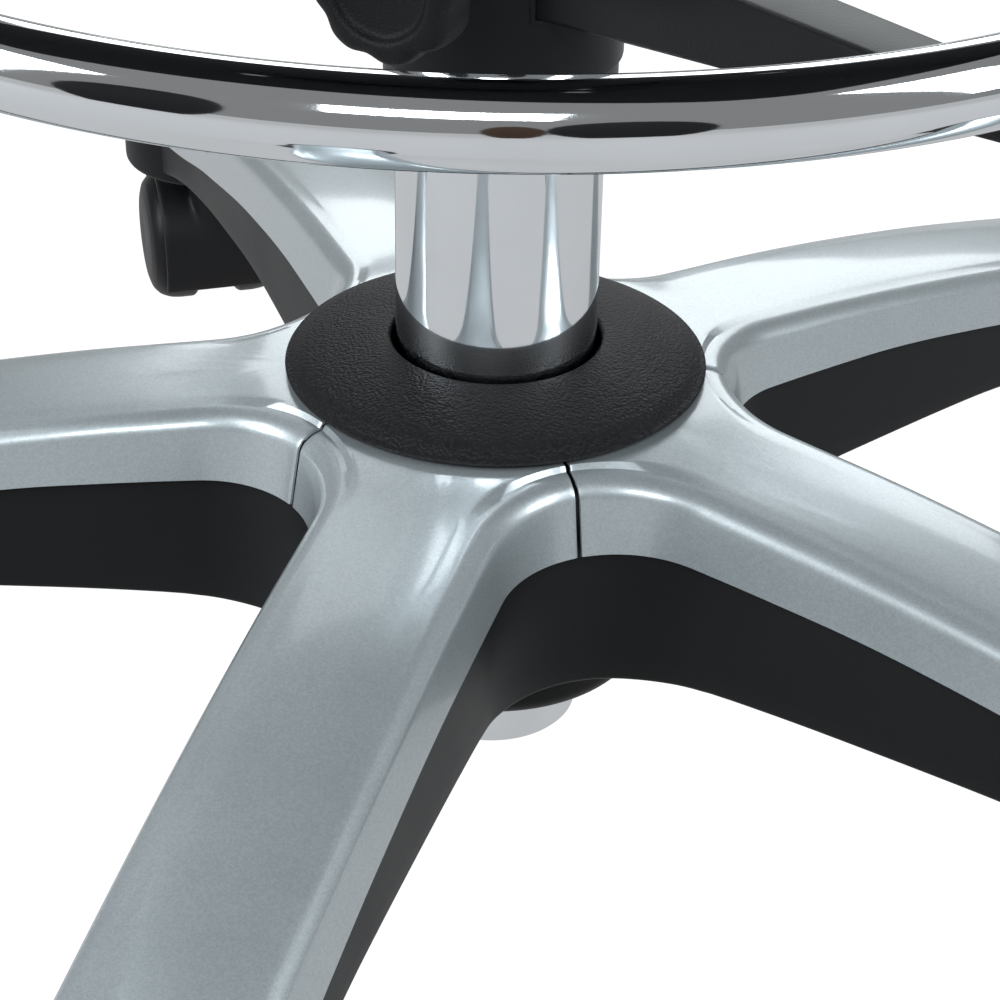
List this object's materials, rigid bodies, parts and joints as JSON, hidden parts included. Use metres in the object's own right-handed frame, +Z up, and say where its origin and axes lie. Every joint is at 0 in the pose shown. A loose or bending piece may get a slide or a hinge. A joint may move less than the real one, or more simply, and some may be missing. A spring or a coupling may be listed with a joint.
{
  "type": "drafting chair",
  "caption": "Armless drafting chair: padded seat and back on a gas lift with a sliding foot ring and a castered star base.",
  "frame": {"origin": "on the floor under the column's axis, at the middle of the chair's footprint", "axes": "+Z up the column; -Y is the way the sitter faces and the way of the front arm of the base; +X is the sitter's left"},
  "size_m": [0.7058, 0.7037, 1.09],
  "materials": {
    "black_nylon": "fine spark texture",
    "silver_paint": "satin metallic lacquer",
    "collar_plastic": "leather grain",
    "plain_steel": "bright zinc",
    "chrome": "polished plate",
    "bush_plastic": "smooth",
    "rubber": "matt",
    "caster_nylon": "satin moulded",
    "wheel_nylon": "satin moulded",
    "black_steel": "satin powder coat",
    "spring_steel": "oiled",
    "knob_plastic": "moulded",
    "plywood": "raw",
    "shell_plastic": "fine spark texture",
    "black_fabric": "woven"
  },
  "bodies": {
    "base": {"base_frame": "black_nylon", "arm_cover_1": "silver_paint", "arm_cover_2": "silver_paint", "arm_cover_3": "silver_paint", "arm_cover_4": "silver_paint", "arm_cover_5": "silver_paint", "hub_collar": "collar_plastic", "caster_stems": "plain_steel", "column_tube": "chrome", "column_bush": "bush_plastic", "thrust_bearing": "plain_steel", "rubber_buffer": "rubber"},
    "caster_1": {"caster_hood_1": "caster_nylon", "caster_axle_1": "plain_steel"},
    "wheel_left_1": {"caster_wheel_left_1": "wheel_nylon"},
    "wheel_right_1": {"caster_wheel_right_1": "wheel_nylon"},
    "caster_2": {"caster_hood_2": "caster_nylon", "caster_axle_2": "plain_steel"},
    "wheel_left_2": {"caster_wheel_left_2": "wheel_nylon"},
    "wheel_right_2": {"caster_wheel_right_2": "wheel_nylon"},
    "caster_3": {"caster_hood_3": "caster_nylon", "caster_axle_3": "plain_steel"},
    "wheel_left_3": {"caster_wheel_left_3": "wheel_nylon"},
    "wheel_right_3": {"caster_wheel_right_3": "wheel_nylon"},
    "caster_4": {"caster_hood_4": "caster_nylon", "caster_axle_4": "plain_steel"},
    "wheel_left_4": {"caster_wheel_left_4": "wheel_nylon"},
    "wheel_right_4": {"caster_wheel_right_4": "wheel_nylon"},
    "caster_5": {"caster_hood_5": "caster_nylon", "caster_axle_5": "plain_steel"},
    "wheel_left_5": {"caster_wheel_left_5": "wheel_nylon"},
    "wheel_right_5": {"caster_wheel_right_5": "wheel_nylon"},
    "rod": {"piston_rod": "plain_steel", "rod_clip": "plain_steel"},
    "mechanism": {"gas_cylinder": "black_steel", "mech_case": "black_steel", "tilt_spring": "spring_steel"},
    "pin": {"release_pin": "plain_steel"},
    "lever": {"height_lever": "black_steel", "lever_handle": "knob_plastic"},
    "cup": {"spring_cup": "black_steel"},
    "tension": {"tension_knob": "knob_plastic"},
    "seat": {"mech_top_plate": "black_steel", "pivot_rod": "plain_steel", "seat_board": "plywood", "seat_shell": "shell_plastic", "seat_cushion": "black_fabric", "seat_bolts": "plain_steel", "back_bar": "black_steel"},
    "back": {"back_shell": "shell_plastic", "back_cushion": "black_fabric", "back_bolts": "plain_steel"},
    "back_grip": {"back_knob": "knob_plastic"},
    "liner": {"ring_bush": "bush_plastic"},
    "foot_ring": {"foot_ring": "chrome", "ring_hub": "black_steel", "ring_spokes": "black_steel"},
    "clamp_pad": {"pressure_pad": "plain_steel"},
    "clamp_grip": {"clamp_stud": "plain_steel", "clamp_knob": "knob_plastic"}
  },
  "joints": [
    {"name": "caster_swivel_1", "type": "hinge", "parent": "base", "child": "caster_1", "pos_m": [0.18809, 0.25888, 0.06], "axis": [0, 0, 1], "continuous": true},
    {"name": "wheel_left_spin_1", "type": "hinge", "parent": "caster_1", "child": "wheel_left_1", "pos_m": [0.19225, 0.27845, 0.025], "axis": [-0.9781, 0.2079, 0], "continuous": true},
    {"name": "wheel_right_spin_1", "type": "hinge", "parent": "caster_1", "child": "wheel_right_1", "pos_m": [0.19225, 0.27845, 0.025], "axis": [-0.9781, 0.2079, 0], "continuous": true},
    {"name": "caster_swivel_2", "type": "hinge", "parent": "base", "child": "caster_2", "pos_m": [-0.18809, 0.25888, 0.06], "axis": [0, 0, 1], "continuous": true},
    {"name": "wheel_left_spin_2", "type": "hinge", "parent": "caster_2", "child": "wheel_left_2", "pos_m": [-0.19869, 0.27585, 0.025], "axis": [-0.848, -0.5299, 0], "continuous": true},
    {"name": "wheel_right_spin_2", "type": "hinge", "parent": "caster_2", "child": "wheel_right_2", "pos_m": [-0.19869, 0.27585, 0.025], "axis": [-0.848, -0.5299, 0], "continuous": true},
    {"name": "caster_swivel_3", "type": "hinge", "parent": "base", "child": "caster_3", "pos_m": [-0.30434, -0.09889, 0.06], "axis": [0, 0, 1], "continuous": true},
    {"name": "wheel_left_spin_3", "type": "hinge", "parent": "caster_3", "child": "wheel_left_3", "pos_m": [-0.32403, -0.09541, 0.025], "axis": [-0.1736, -0.9848, 0], "continuous": true},
    {"name": "wheel_right_spin_3", "type": "hinge", "parent": "caster_3", "child": "wheel_right_3", "pos_m": [-0.32403, -0.09541, 0.025], "axis": [-0.1736, -0.9848, 0], "continuous": true},
    {"name": "caster_swivel_4", "type": "hinge", "parent": "base", "child": "caster_4", "pos_m": [0, -0.32, 0.06], "axis": [0, 0, 1], "continuous": true},
    {"name": "wheel_left_spin_4", "type": "hinge", "parent": "caster_4", "child": "wheel_left_4", "pos_m": [-0.01879, -0.32684, 0.025], "axis": [0.342, -0.9397, 0], "continuous": true},
    {"name": "wheel_right_spin_4", "type": "hinge", "parent": "caster_4", "child": "wheel_right_4", "pos_m": [-0.01879, -0.32684, 0.025], "axis": [0.342, -0.9397, 0], "continuous": true},
    {"name": "caster_swivel_5", "type": "hinge", "parent": "base", "child": "caster_5", "pos_m": [0.30434, -0.09889, 0.06], "axis": [0, 0, 1], "continuous": true},
    {"name": "wheel_left_spin_5", "type": "hinge", "parent": "caster_5", "child": "wheel_left_5", "pos_m": [0.32403, -0.09541, 0.025], "axis": [-0.1736, 0.9848, 0], "continuous": true},
    {"name": "wheel_right_spin_5", "type": "hinge", "parent": "caster_5", "child": "wheel_right_5", "pos_m": [0.32403, -0.09541, 0.025], "axis": [-0.1736, 0.9848, 0], "continuous": true},
    {"name": "seat_swivel", "type": "hinge", "parent": "base", "child": "rod", "pos_m": [0, 0, 0.06], "axis": [0, 0, 1], "continuous": true},
    {"name": "seat_lift", "type": "slide", "parent": "rod", "child": "mechanism", "axis": [0, 0, 1], "range_m": [0, 0.24]},
    {"name": "height_lever", "type": "hinge", "parent": "mechanism", "child": "lever", "pos_m": [0.0505, 0, 0.4843], "axis": [0, -1, 0], "range_deg": [0, 3.5], "stiffness_Nm_per_rad": 2, "springref_deg": -5.73},
    {"name": "release_pin", "type": "slide", "parent": "mechanism", "child": "pin", "axis": [0, 0, -1], "range_m": [0, 0.0031]},
    {"name": "tension_knob", "type": "hinge", "parent": "mechanism", "child": "tension", "pos_m": [0, 0.042, 0.43], "axis": [0, 0, 1], "range_deg": [0, 1800]},
    {"name": "spring_preload", "type": "slide", "parent": "mechanism", "child": "cup", "axis": [0, 0, 1], "range_m": [0, 0.0076]},
    {"name": "seat_tilt", "type": "hinge", "parent": "mechanism", "child": "seat", "pos_m": [0, -0.085, 0.505], "axis": [-1, 0, 0], "range_deg": [0, 10], "stiffness_Nm_per_rad": 220, "springref_deg": -6.88, "deforming": ["tilt_spring"]},
    {"name": "back_height", "type": "slide", "parent": "seat", "child": "back", "axis": [0, 0, 1], "range_m": [0, 0.06]},
    {"name": "back_knob", "type": "hinge", "parent": "back", "child": "back_grip", "pos_m": [0, 0.33, 0.82], "axis": [0, 1, 0], "range_deg": [0, 360]},
    {"name": "ring_slide", "type": "slide", "parent": "base", "child": "liner", "axis": [0, 0, 1], "range_m": [-0.06, 0.1]},
    {"name": "ring_turn", "type": "hinge", "parent": "liner", "child": "foot_ring", "pos_m": [0, 0, 0.26], "axis": [0, 0, 1], "continuous": true},
    {"name": "clamp_travel", "type": "slide", "parent": "foot_ring", "child": "clamp_pad", "axis": [-0.1736, -0.9848, 0], "range_m": [0, 0.00126]},
    {"name": "clamp_knob", "type": "hinge", "parent": "clamp_pad", "child": "clamp_grip", "pos_m": [-0.00868, -0.04924, 0.262], "axis": [-0.1736, -0.9848, 0], "range_deg": [0, 360]}
  ],
  "couplings": [
    {"joint": "release_pin", "follows": "height_lever", "m_per_rad": 0.0505},
    {"joint": "spring_preload", "follows": "tension_knob", "m_per_rad": 0.00023873},
    {"joint": "clamp_travel", "follows": "clamp_knob", "m_per_rad": 0.00019894}
  ]
}
